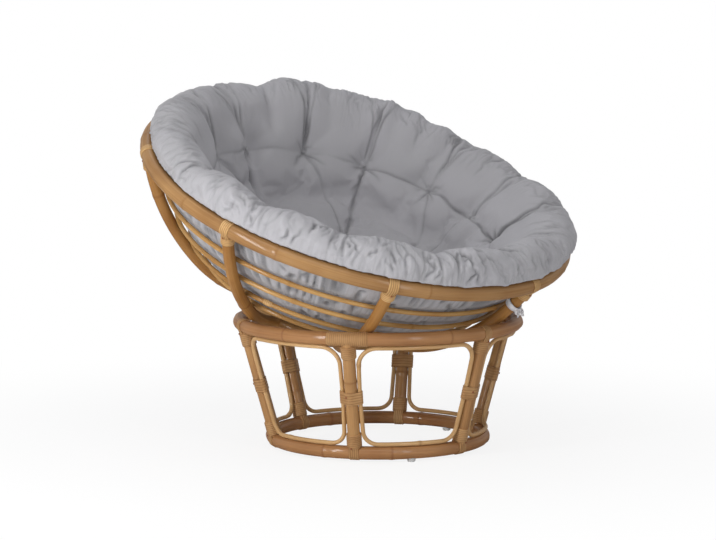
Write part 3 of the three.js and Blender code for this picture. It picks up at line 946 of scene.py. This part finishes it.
solid = bmesh.new()
solid.from_mesh(frame["nodes"]["cushion"].data)
bmesh.ops.remove_doubles(solid, verts=solid.verts, dist=merge_distance)
bmesh.ops.recalc_face_normals(solid, faces=solid.faces)
outline = bpy.data.meshes.new("outline")
solid.to_mesh(outline)
solid.free()


def settled(pad):
    """The mesh of a piece with its modifiers applied, in the piece's place."""
    made = bpy.data.meshes.new_from_object(pad.evaluated_get(bpy.context.evaluated_depsgraph_get()))
    bpy.data.objects.remove(pad)
    return made


def new_pad(mesh):
    pad = bpy.data.objects.new("seat_cushion", mesh)
    bpy.context.scene.collection.objects.link(pad)
    return pad


pad = new_pad(outline)
rounding = pad.modifiers.new("rounding", "SUBSURF")
rounding.levels = 2
rounding.render_levels = 2
squares = pad.modifiers.new("squares", "REMESH")
squares.mode = "VOXEL"
squares.voxel_size = start_voxel
padding = settled(pad)


def skin(mesh):
    return BVHTree.FromPolygons([v.co for v in mesh.vertices], [face.vertices for face in mesh.polygons])


def from_middle(azimuth, angle):
    """The direction from the middle of the ball at an azimuth and an angle up from the bottom of the bowl."""
    return bowl_turn @ (spoke(azimuth) * math.sin(angle) - up * math.cos(angle))


def on_crown(cover, azimuth, angle):
    """The place on the upper cloth at an azimuth and an angle."""
    return cover.ray_cast(ball_middle, from_middle(azimuth, angle))[0]


def on_roll(cover, azimuth, turn):
    """The place on the roll at a turn about its middle, from nought on its outer side."""
    direction = bowl_turn @ (spoke(azimuth) * math.cos(turn) + up * math.sin(turn))
    start = in_bowl @ (spoke(azimuth) * roll_middle + up * roll_height)
    return cover.ray_cast(start, direction)[0]


def ring_of_tufts(count, angle):
    return [(first_tuft + 2 * math.pi * index / count, angle) for index in range(count)]


def wandered(seed, share, reach):
    """How far a fold strays sideways, none at its two ends."""
    sway = noise.noise(Vector((share * fold_waves, seed * 7.3, 0.5)))
    return reach * math.sin(math.pi * share) * sway * fold_sway


def fold_between(cover, start, end, seed):
    """Places along a fold on the crown from one tuft to another."""
    far = (on_crown(cover, *end) - on_crown(cover, *start)).length
    turn = (end[0] - start[0] + math.pi) % (2 * math.pi) - math.pi
    places = []
    for step in range(math.ceil(far / fold_step) + 1):
        share = step * fold_step / far
        stray = wandered(seed, share, fold_wander) / ball_radius
        azimuth = start[0] + turn * share + stray / max(0.3, math.sin(start[1]))
        places.append(on_crown(cover, azimuth, start[1] + (end[1] - start[1]) * share + stray))
    return places


def fold_outward(cover, tuft, aside, end, seed):
    """Places along a fold from a tuft over the roll, a little to one side."""
    places = []
    for step in range(crown_steps + 1):
        share = step / crown_steps
        angle = tuft[1] + (crown_edge - tuft[1]) * share
        places.append(on_crown(cover, tuft[0] + aside * share * pleat_start / ball_radius, angle))
    first = on_roll(cover, tuft[0] + aside * pleat_start / roll_middle, roll_from)
    steps = math.ceil((first - places[-1]).length / fold_step)
    places += [cover.find_nearest(places[-1].lerp(first, step / steps))[0] for step in range(1, steps)]
    for step in range(roll_steps + 1):
        share = step / roll_steps
        stray = wandered(seed, share, fold_wander)
        azimuth = tuft[0] + (aside * (pleat_start + pleat_spread * share) + stray) / roll_middle
        places.append(on_roll(cover, azimuth, roll_from + (end - roll_from) * share))
    return [place for place in places if place]


def slit(cover, azimuth, start, end, slant, seed):
    """Places along a short fold across the roll."""
    places = []
    steps = math.ceil(abs(end - start) * slit_run / fold_step)
    for step in range(steps + 1):
        share = step / steps
        stray = slant * share + wandered(slit_seed + seed, share, fold_wander)
        places.append(on_roll(cover, azimuth + stray / roll_middle, start + (end - start) * share))
    return [place for place in places if place]


def under_slit(cover, azimuth, angle, seed):
    """Places along a short fold on the lower cloth, between the hoops."""
    chance = random.Random(seed)
    length = chance.uniform(*under_slit_lengths)
    way = chance.gauss(math.pi / 2, 0.5)
    places = []
    for step in range(math.ceil(length / fold_step) + 1):
        run = step * fold_step / ball_radius
        turned = azimuth + math.cos(way) * run / math.sin(angle)
        raised = angle + math.sin(way) * run
        direction = from_middle(turned, raised)
        places.append(cover.ray_cast(ball_middle + direction, -direction)[0])
    return places


def tree_of(places):
    tree = KDTree(len(places))
    for index, place in enumerate(places):
        tree.insert(place, index)
    tree.balance()
    return tree


class Folds:
    """Folds in the cloth, to be pressed in wherever they pass."""

    def __init__(self):
        self.places = []
        self.presses = []

    def add(self, places, depth, width, fade=0.0):
        """Adds a fold. Each end dies away over the share fade of it, or the far one only if fade is < 0."""
        last = max(1, len(places) - 1)
        for index, place in enumerate(places):
            share = index / last
            strength = press_change + press_change * noise.noise(place * press_scale)
            if fade:
                strength *= smooth((1 - share) / abs(fade))
            if fade > 0:
                strength *= smooth(share / fade)
            self.places.append(place)
            self.presses.append((depth * strength, width))

    def ready(self):
        self.tree = tree_of(self.places)
        self.reach = 2.2 * max(width for depth, width in self.presses)

    def depth_at(self, place):
        deepest = 0
        for near, index, gap in self.tree.find_range(place, self.reach):
            depth, width = self.presses[index]
            deepest = max(deepest, depth * math.exp(-((gap / width) ** 2)))
        return deepest


side_tufts = []
chance = random.Random(5)
for index, (azimuth, angle) in enumerate(ring_of_tufts(tuft_count, tuft_angle)):
    if index < len(tuft_shifts):
        aside, rise = tuft_shifts[index]
    else:
        aside, rise = (chance.uniform(-most, most) for most in tuft_stray)
    side_tufts.append((azimuth + math.radians(aside), angle + math.radians(rise)))
seat_tufts = ring_of_tufts(seat_tuft_count, seat_tuft_angle)
tufts = side_tufts + seat_tufts


def folds_of(cover, depths, width, is_fine):
    """The folds on a state of the cloth. depths are those outward, round the sides, down and in the seat."""
    outer_depth, side_depth, down_depth, seat_depth = depths
    folds = Folds()
    chance = random.Random(7)
    for index, tuft in enumerate(side_tufts):
        following = side_tufts[(index + 1) % tuft_count]
        if index < len(side_fold_shares):
            uneven = side_fold_shares[index]
        else:
            uneven = chance.uniform(*side_fold_range)
        folds.add(fold_between(cover, tuft, following, index), side_depth * uneven, width)
        below = seat_tufts[index // 2 % seat_tuft_count]
        depth = down_depth * (minor_fold_share if index % 2 else 1)
        folds.add(fold_between(cover, tuft, below, down_seed + index), depth, width)
        for number, aside in enumerate(pleats_aside if is_fine else (0,)):
            end = pleat_ends[chance.randrange(2)]
            depth = outer_depth * chance.uniform(*pleat_depths)
            aside *= chance.uniform(*pleat_strays)
            seed = pleat_seed + index * len(pleats_aside) + number
            folds.add(fold_outward(cover, tuft, aside, end, seed), depth, width, -0.25)
    for index, tuft in enumerate(seat_tufts):
        following = seat_tufts[(index + 1) % seat_tuft_count]
        folds.add(fold_between(cover, tuft, following, seat_seed + index), seat_depth, width)
        folds.add(fold_between(cover, tuft, (tuft[0], 0.05), spoke_seed + index), seat_depth, width, -0.4)
    if is_fine:
        add_fine_folds(folds, cover, chance)
    folds.ready()
    return folds


def add_fine_folds(folds, cover, chance):
    """Adds short folds on the roll and the lower cloth, and a pit with small rays at each tuft."""
    for index in range(slit_count):
        azimuth = chance.uniform(0, 2 * math.pi)
        is_front = math.cos(azimuth - slit_front) > slit_front_share
        start = chance.triangular(*slit_turns)
        slant = chance.uniform(-slit_slant, slit_slant)
        end = start + chance.uniform(*slit_lengths) * (1 if is_front else back_slit_length)
        depth = chance.uniform(*slit_depths) * (1 if is_front else back_slit_depth)
        width = chance.uniform(*slit_widths)
        folds.add(slit(cover, azimuth, start, end, slant, index), depth, width, 0.35)
    for index in range(under_slit_count):
        places = under_slit(cover, chance.uniform(0, 2 * math.pi), chance.uniform(*under_slit_angles), index)
        folds.add(places, chance.uniform(*under_slit_depths), chance.uniform(*under_slit_widths), 0.4)
    for azimuth, angle in tufts:
        folds.add([on_crown(cover, azimuth, angle)], pit_depth, pit_reach)
        count = chance.randrange(*tuft_rays)
        for ray in range(count):
            way = 2 * math.pi * (ray + chance.uniform(0.1, 0.9)) / count
            length = chance.uniform(*tuft_ray_lengths) / ball_radius
            end = (azimuth + math.cos(way) * length / math.sin(angle), angle + math.sin(way) * length)
            if end[1] < crown_edge:
                places = fold_between(cover, (azimuth, angle), end, ray_seed + ray)
                folds.add(places, tuft_ray_depth, tuft_ray_width, -0.9)


def placed(vert):
    """Azimuth, angle, distance and turn about the roll of a vertex in the bowl."""
    place = to_bowl @ vert.co
    level = math.hypot(place.x, place.y)
    turn = math.atan2(place.z - roll_height, level - roll_middle)
    return math.atan2(place.x, -place.y), math.atan2(level, -place.z), place.length, turn


sleeve = skin(padding)
first_folds = folds_of(sleeve, first_depths, first_width, False)
tuft_tree = tree_of([on_crown(sleeve, *tuft) for tuft in tufts])
crown_far = ball_radius - cushion_depth
crown_tree = tree_of([ball_middle + from_middle(*tuft) * crown_far for tuft in tufts])

shape = bmesh.new()
shape.from_mesh(padding)
shape.normal_update()
holding = shape.verts.layers.deform.verify()
for vert in shape.verts:
    azimuth, angle, far, turn = placed(vert)
    press = first_folds.depth_at(vert.co)
    from_tuft = tuft_tree.find(vert.co)[2]
    if far < under_side and angle < crown_edge + 0.1:
        on_ball = ball_middle + (vert.co - ball_middle) * (crown_far / far)
        drawn = max(0, 1 - crown_tree.find(on_ball)[2] / tuft_reach)
        press -= tuft_lift * drawn ** 2
    if far < under_side or turn > 0:
        cell = (azimuth - first_tuft) * tuft_count / (2 * math.pi)
        rise = smooth((angle - tuft_angle + 0.06) / 0.12) * smooth((turn if turn > 0 else math.pi) / 1.2)
        press -= puff_height * rise * math.sin(math.pi * cell) ** 2
    beneath = far > under_side and (angle < rim_angle - 0.05 or -math.pi / 2 < turn < 0)
    on_rim = resting_turns[0] < turn < resting_turns[1] and far > resting_from and angle > crown_edge
    rests = beneath or on_rim
    if from_tuft < tuft_hold or rests:
        vert[holding][0] = 1
    elif press > least_held_press:
        vert[holding][0] = fold_hold * min(1, press / most_held_press)
    right = max(0, math.cos(azimuth - low_side)) ** 3
    inset = start_inset + right * low_side_inset * smooth((angle - 1) / 0.2)
    vert.co -= vert.normal * (press + (0 if rests else inset))
shape.to_mesh(padding)
shape.free()

pad = new_pad(padding)
pad.vertex_groups.new(name="held")
started = [vert.co.copy() for vert in padding.vertices]
cloth = pad.modifiers.new("cloth", "CLOTH")
cloth.settings.vertex_group_mass = "held"
cloth.settings.use_pressure = True
cloth.settings.uniform_pressure_force = pressure
cloth.settings.shrink_min = spare_cloth
cloth.settings.effector_weights.gravity = 0
cloth.settings.quality = 4
cloth.settings.bending_stiffness = 0.05
cloth.settings.tension_stiffness = 12
cloth.settings.compression_stiffness = 12
cloth.point_cache.frame_start = 1
cloth.point_cache.frame_end = frames
for number in range(1, frames + 1):
    bpy.context.scene.frame_set(number)
padding = settled(pad)
for vert, start in zip(padding.vertices, started):
    moved = vert.co - start
    place = to_bowl @ start
    on_edge = smooth((math.atan2(math.hypot(place.x, place.y), -place.z) - tuft_angle) / 0.2)
    most = most_swelling + (edge_swelling - most_swelling) * on_edge
    vert.co = start + moved * (most / math.hypot(most, moved.length))
bpy.context.scene.frame_set(1)

pad = new_pad(padding)
finer = pad.modifiers.new("finer", "SUBSURF")
finer.levels = 1
finer.render_levels = 1
padding = settled(pad)

fine_folds = folds_of(skin(padding), fine_depths, fine_width, True)


def ridge(phase):
    """Rounded puffs with narrow valleys between them, once per whole number."""
    return abs(math.sin(math.pi * phase)) ** valley_roundness


def gathers(azimuth, turn, along):
    """Depth of the gathers at a place on the edge of the cushion, and how deep in their valleys the place
    lies, which sets painted shade there.
    """
    circle = Vector((math.sin(azimuth), math.cos(azimuth), 0))
    sway = noise.noise(circle * 9 + up * turn * 0.9) * 1.3 + noise.noise(circle * 3 + up * turn * 0.4) * 3
    phase = azimuth * roll_middle / gather_wave + sway
    strength = smooth(0.45 + 1.7 * noise.noise(circle * 12 + up * (turn * 1.4 + 4)))
    crimp_phase = azimuth * roll_middle / crimp_wave + sway * 2
    crimps = smooth(0.5 + 1.6 * noise.noise(circle * 7 + up * (turn * 1.1 + 30)))
    puffs = noise.noise(circle * 9 + up * (turn * 1.5 + 20)) * puff_depth
    folded = (1 - ridge(phase)) * gather_depth * strength + (1 - ridge(crimp_phase)) * crimp_depth * crimps
    return along * (folded + puffs), along * folded / gather_depth


def filling(azimuth, bumps):
    """How far uneven filling moves the roll at an azimuth. Each bump has an azimuth, a height and a reach."""
    moved = 0
    for middle, height, reach in bumps:
        away = (azimuth - math.radians(middle) + math.pi) % (2 * math.pi) - math.pi
        moved += height * math.exp(-((away / math.radians(reach)) ** 2))
    return moved


def clear_of_poles(place):
    """A place in the bowl, moved off the rim and the hoops where the cloth would enter them."""
    level = math.hypot(place.x, place.y)
    section = Vector((level, place.z))
    for middle, radius in poles_under:
        gap = section - middle
        if gap.length < radius + belly_gap:
            section = middle + gap.normalized() * (radius + belly_gap)
    away = max(level, merge_distance)
    return Vector((place.x * section.x / away, place.y * section.x / away, section.y))


shape = bmesh.new()
shape.from_mesh(padding)
shape.normal_update()
weave = shape.verts.layers.float_vector.new("weave")
gather = shape.verts.layers.float_vector.new("gather")
gathered = shape.verts.layers.float.new("gathered")
shade = shape.verts.layers.float.new("painted_crease_shade")
for vert in shape.verts:
    azimuth, angle, far, turn = placed(vert)
    press = fine_folds.depth_at(vert.co)
    # Painted shade: the depth of the folds and the valleys of the gathers make the cloth darker there.
    shadow = press / full_shade_press
    drawn = least_gather
    is_under = far > under_side and angle < rim_angle - 0.04
    if is_under:
        free = smooth(min(abs(angle - hoop_angle) for hoop_angle in hoop_angles) / hoop_free)
        near_rim = smooth((angle - 0.5) / 0.5)
        along = 2.5 * near_rim * (least_gather + (1 - least_gather) * free)
        depth, valley = gathers(azimuth * 0.6, angle * 2, along)
        press = max(press + depth - hoop_bulge * free * near_rim, -hoop_bulge)
        shadow += valley * 0.9
        drawn = near_rim
    elif angle > crown_edge - 0.1:
        outer = smooth((outer_from - (turn if turn > -2 else math.pi)) / outer_over)
        drawn += (1 - least_gather) * outer
        depth, valley = gathers(azimuth, turn, drawn * (0.2 + 0.8 * smooth((turn + 0.1) / 0.6)))
        press += depth
        shadow += valley * 0.3
    else:
        circle = Vector((math.sin(azimuth) * angle, math.cos(azimuth) * angle, 0))
        press += noise.noise(circle * 9) * 0.0025
    vert[shade] = min(1, shadow)
    vert.co -= vert.normal * press
    place = to_bowl @ vert.co
    from_belly = (Vector((math.hypot(place.x, place.y), place.z)) - belly_middle).length
    belly = math.exp(-((from_belly / belly_reach) ** 2)) * (0.8 + 0.9 * noise.noise(spoke(azimuth) * 7))
    place += spoke(azimuth) * (belly_drop.x * belly) + up * (belly_drop.y * belly)
    raised = smooth((angle - tuft_angle - 0.03) / 0.2) * smooth((turn + 0.2) / 0.9 if turn > -2 else 1)
    place += up * (filling(azimuth, top_bumps) * raised)
    if angle > crown_edge and turn > -2:
        place += spoke(azimuth) * (filling(azimuth, side_bumps) * smooth((1.4 - turn) / 0.9))
    vert.co = in_bowl @ clear_of_poles(place)
    flat = angle * ball_radius
    vert[weave] = Vector((math.sin(azimuth) * flat, math.cos(azimuth) * flat, far))
    run = math.asin(max(-1, min(1, (place.length - roll_middle) / roll_size))) * roll_size
    edge = Vector((math.sin(azimuth), math.cos(azimuth), 0)) * roll_middle
    vert[gather] = edge + up * (place.z * 0.5 + run * 0.5)
    vert[gathered] = drawn
for face in shape.faces:
    face.smooth = True
shape.to_mesh(padding)
shape.free()
padding.name = "seat_cushion"

cushion_weave = 0.0011
# Colour of the painted shade deep in the folds.
painted_fold_shade = (0.16, 0.16, 0.165)
# Colour of the painted shade in the hollows of the crimps where the edge is gathered.
painted_crimp_shade = (0.25, 0.25, 0.26)


def cotton(name, light, dark):
    """Washed cotton: a fine plain weave, faint slubs, a soft sheen, and painted shade deep in the folds and
    in the hollows of the crimps.
    """
    finish = Finish(name)
    threads = finish.attribute("weave", "Vector")
    painted_crease_shade = finish.attribute("painted_crease_shade", "Fac")
    gather = finish.attribute("gather", "Vector")
    gathered = finish.attribute("gathered", "Fac")
    place = finish.node("ShaderNodeTexCoord", None, None, "Object")
    ways = [finish.node("ShaderNodeSeparateXYZ", None, {0: threads}, way) for way in ("X", "Y")]
    warp, weft = ((way * (2 * math.pi / cushion_weave)).sine() for way in ways)
    slubs = finish.cloud(finish.stretch(threads, (60, 900, 60)), 1.0)
    patches = finish.cloud(finish.stretch(place, (6, 6, 6)), 1.0)
    colour = finish.mix((patches - 0.5) * 1.2 + (slubs - 0.5) * 0.25 + 0.5, light, dark)
    crimps = finish.cloud(finish.stretch(gather, (120, 120, 22)), 1.0, 3.0)
    # Painted shade, darker deep in the folds.
    colour = finish.mix(painted_crease_shade * 0.68, colour, painted_fold_shade)
    # Painted shade in the hollows of the crimps, where the edge is gathered.
    colour = finish.mix((0.42 - crimps).most(0) * gathered * 2, colour, painted_crimp_shade)
    height = warp * weft * 0.0002 + slubs * 0.0003 + crimps * gathered * 0.006
    relief = finish.relief(height, 0.6, 1.0)
    finish.paint(Base_Color=colour, Roughness=slubs * 0.1 + 0.82, Normal=relief)
    return finish.paint(Sheen_Weight=0.2, Sheen_Roughness=0.5, Specular_IOR_Level=0.25)


pale_cotton = cotton("pale_cotton", (0.49, 0.48, 0.505), (0.43, 0.425, 0.44))
cushion = add_piece(padding, pale_cotton, "cushion", "cushion_cotton", "cushion")

# Nails. Small round steel heads, lacquered over with the wood. One holds the wrapping at each joint of a leg
# or rib, and one the binding at each waist.
nail_radius = 0.0024
nail_height = 0.0013
nail_sides = 12
nail_rings = 8
on_strap = 2 * peel
on_band = 1.5 * peel


def nail_heads(name, places):
    """One mesh of the heads at some places, each with the matrix that turns Z out of the wood."""
    heads = bmesh.new()
    flat = Matrix.Diagonal((1, 1, nail_height / nail_radius, 1))
    for place in places:
        grid = {"u_segments": nail_sides, "v_segments": nail_rings}
        bmesh.ops.create_uvsphere(heads, **grid, radius=nail_radius, matrix=place @ flat)
    for face in heads.faces:
        face.smooth = True
    mesh = bpy.data.meshes.new(name)
    heads.to_mesh(mesh)
    heads.free()
    return mesh


def on_pole(joint, along, turn, radius):
    """The place on a joint's pole, at a distance from the ring and a turn round from its outer face."""
    facing = Matrix.Translation((0, radius, 0)) @ Matrix.Rotation(-math.pi / 2, 4, "X")
    return joint @ Matrix.Translation((0, 0, along)) @ (Matrix.Rotation(turn, 4, "Z") @ facing)


def sides_of(joints, outward):
    return [joint @ Matrix.Rotation(0 if outward else math.pi, 4, "Z") for joint in joints]


chance = random.Random(3)
nail_finish = rattan("nail_lacquer", (0.3, 0.11, 0.05), (0.2, 0.07, 0.03), (0.1, 0.03, 0.01), 5)
places = []
for joint in sides_of(top_joints[1:], True):
    places.append(on_pole(joint, ring_pole * 0.9, chance.uniform(-0.3, 0.3), leg_pole + on_strap))
for joint in sides_of(foot_joints, False):
    places.append(on_pole(joint, ring_pole * 1.1, chance.uniform(-0.3, 0.3), leg_pole + on_strap))
    places.append(on_pole(joint, waist + 0.004, chance.uniform(-0.6, -0.4), leg_pole + on_band))
add_piece(nail_heads("stand_nails", places), nail_finish, "stand", "stand_pole")
places = []
for joint in rim_joints:
    places.append(on_pole(joint, rim_pole * 0.95, chance.uniform(-0.4, 0.4), rib_pole + on_strap))
add_piece(nail_heads("bowl_nails", places), nail_finish, "bowl", "bowl_pole")

# Cloth tie. A strip of the cushion's cotton, passed twice round a rib under the rim and knotted in a small
# bow on the outer side, with its two short ends hanging.
tie_width = 0.016
tie_thickness = 0.0011
tie_drop = 0.067
tie_turns = 2.15
tie_end = 0.011
tie_sides = 8
tie_crumple = 0.0022
wound_steps = 90
end_steps = 16
bow_steps = 24
bow_reach = 0.013
bow_rise = 0.006
wound_from = 0.0022
wound_growth = 0.0032
wound_slip = 0.003
knot_out = 0.0075
tie_angle = rim_angle - tie_drop / ball_radius
point = bowl_point(tie_angle)
tie_middle = in_bowl @ (spoke(rib_azimuths[0]) * point.x + up * point.y)
tie_down = in_bowl.to_3x3() @ (spoke(rib_azimuths[0]) * -math.cos(tie_angle) - up * math.sin(tie_angle))
tie_side = in_bowl.to_3x3() @ tangent(rib_azimuths[0])
tie_out = tie_down.cross(tie_side).normalized()


def strip_of_cloth(name, path, across, width):
    """A thin closed strip of cloth along a path, a little crumpled at its edges."""
    last = len(path) - 1
    normals = []
    for index in range(last + 1):
        ahead = (path[min(last, index + 1)] - path[max(0, index - 1)]).normalized()
        normals.append(ahead.cross(across[index]).normalized())

    def corner(along, turn):
        index = round(along * last)
        share = math.cos(2 * math.pi * turn)
        side = math.sin(2 * math.pi * turn)
        crumple = noise.noise(Vector((along * 6, share * 1.5, len(name)))) * tie_crumple
        narrow = 0.85 + 0.25 * noise.noise(Vector((along * 5, 3, len(name))))
        lift = normals[index] * (side * tie_thickness / 2 + crumple)
        place = path[index] + across[index] * (share * width * narrow / 2) + lift
        return place, Vector((along, share, 0)), 0

    return rolled_piece(name, last, tie_sides, corner)


wound = []
for step in range(wound_steps + 1):
    turn = 2 * math.pi * tie_turns * step / wound_steps
    radius = rib_pole + wound_from + wound_growth * step / wound_steps
    round_rib = tie_side * (math.sin(turn) * radius) + tie_out * (math.cos(turn) * radius)
    wound.append(tie_middle + round_rib + tie_down * (math.sin(turn * 0.5) * wound_slip))
strips = [strip_of_cloth("wound", wound, [tie_down] * len(wound), tie_width * 0.85)]
knot_place = tie_middle + tie_out * (rib_pole + knot_out)
for side in (-1, 1):
    hanging, across = [], []
    for step in range(end_steps + 1):
        share = step / end_steps
        sway = tie_side * side * (0.004 + 0.016 * share - 0.012 * share ** 2)
        drop = -up * (tie_end * share ** 1.3) + tie_out * (0.006 * math.sin(math.pi * share))
        hanging.append(knot_place + sway + drop)
        across.append((tie_side + tie_out * side * 0.7 * share).normalized())
    strips.append(strip_of_cloth("end" if side < 0 else "other_end", hanging, across, tie_width * 0.8))
for side in (-1, 1):
    bow = []
    for step in range(bow_steps + 1):
        turn = 2 * math.pi * step / bow_steps
        reach = bow_reach * (1 - math.cos(turn)) / 2
        aside = tie_side * side * (reach + 0.002)
        bow.append(knot_place + aside + up * (bow_rise * math.sin(turn)) + tie_out * 0.001)
    strips.append(strip_of_cloth("bow", bow, [tie_out] * len(bow), tie_width * 0.6))
mesh = joined("cushion_tie_cloth", *strips)
tie_cotton = cotton("tie_cotton", (0.78, 0.77, 0.78), (0.68, 0.67, 0.69))
cloth_tie = add_piece(mesh, tie_cotton, "bowl", "cushion_cotton", "cushion_tie")
